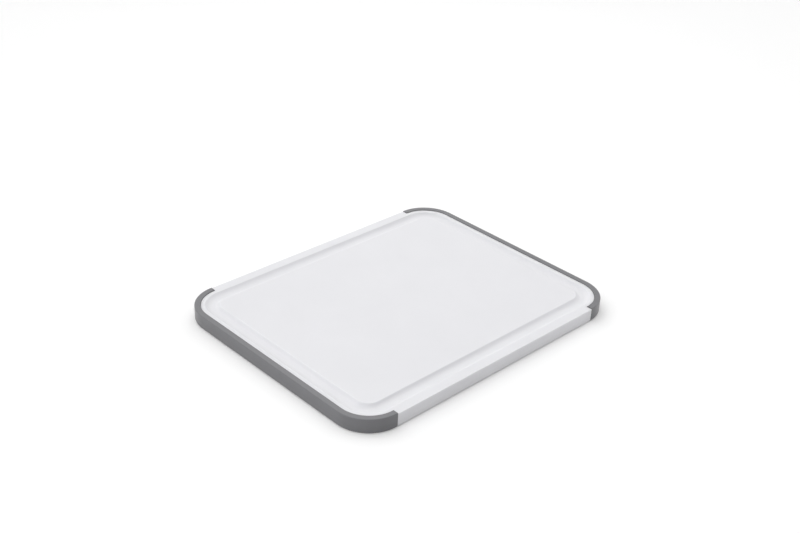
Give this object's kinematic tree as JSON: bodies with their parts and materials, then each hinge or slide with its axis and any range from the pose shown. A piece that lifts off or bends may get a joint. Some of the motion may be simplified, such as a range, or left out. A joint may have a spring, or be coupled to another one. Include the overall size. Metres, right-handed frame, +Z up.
{
  "type": "cutting board",
  "caption": "Rectangular plastic cutting board with round corners, a shallow juice trench round its cutting face and soft non-slip grips moulded over its short ends.",
  "frame": {"origin": "middle of the footprint, on the surface that the grips stand on", "axes": "+X along the board's length towards the right-hand grip, +Y across its width, +Z up out of the cutting face"},
  "size_m": [0.25, 0.2, 0.0113],
  "materials": {
    "white_polypropylene": "fine satin moulded surface",
    "grey_rubber": "matt soft moulded surface"
  },
  "bodies": {
    "root": {"cutting_panel": "white_polypropylene", "left_end_grip": "grey_rubber", "right_end_grip": "grey_rubber"}
  },
  "joints": []
}
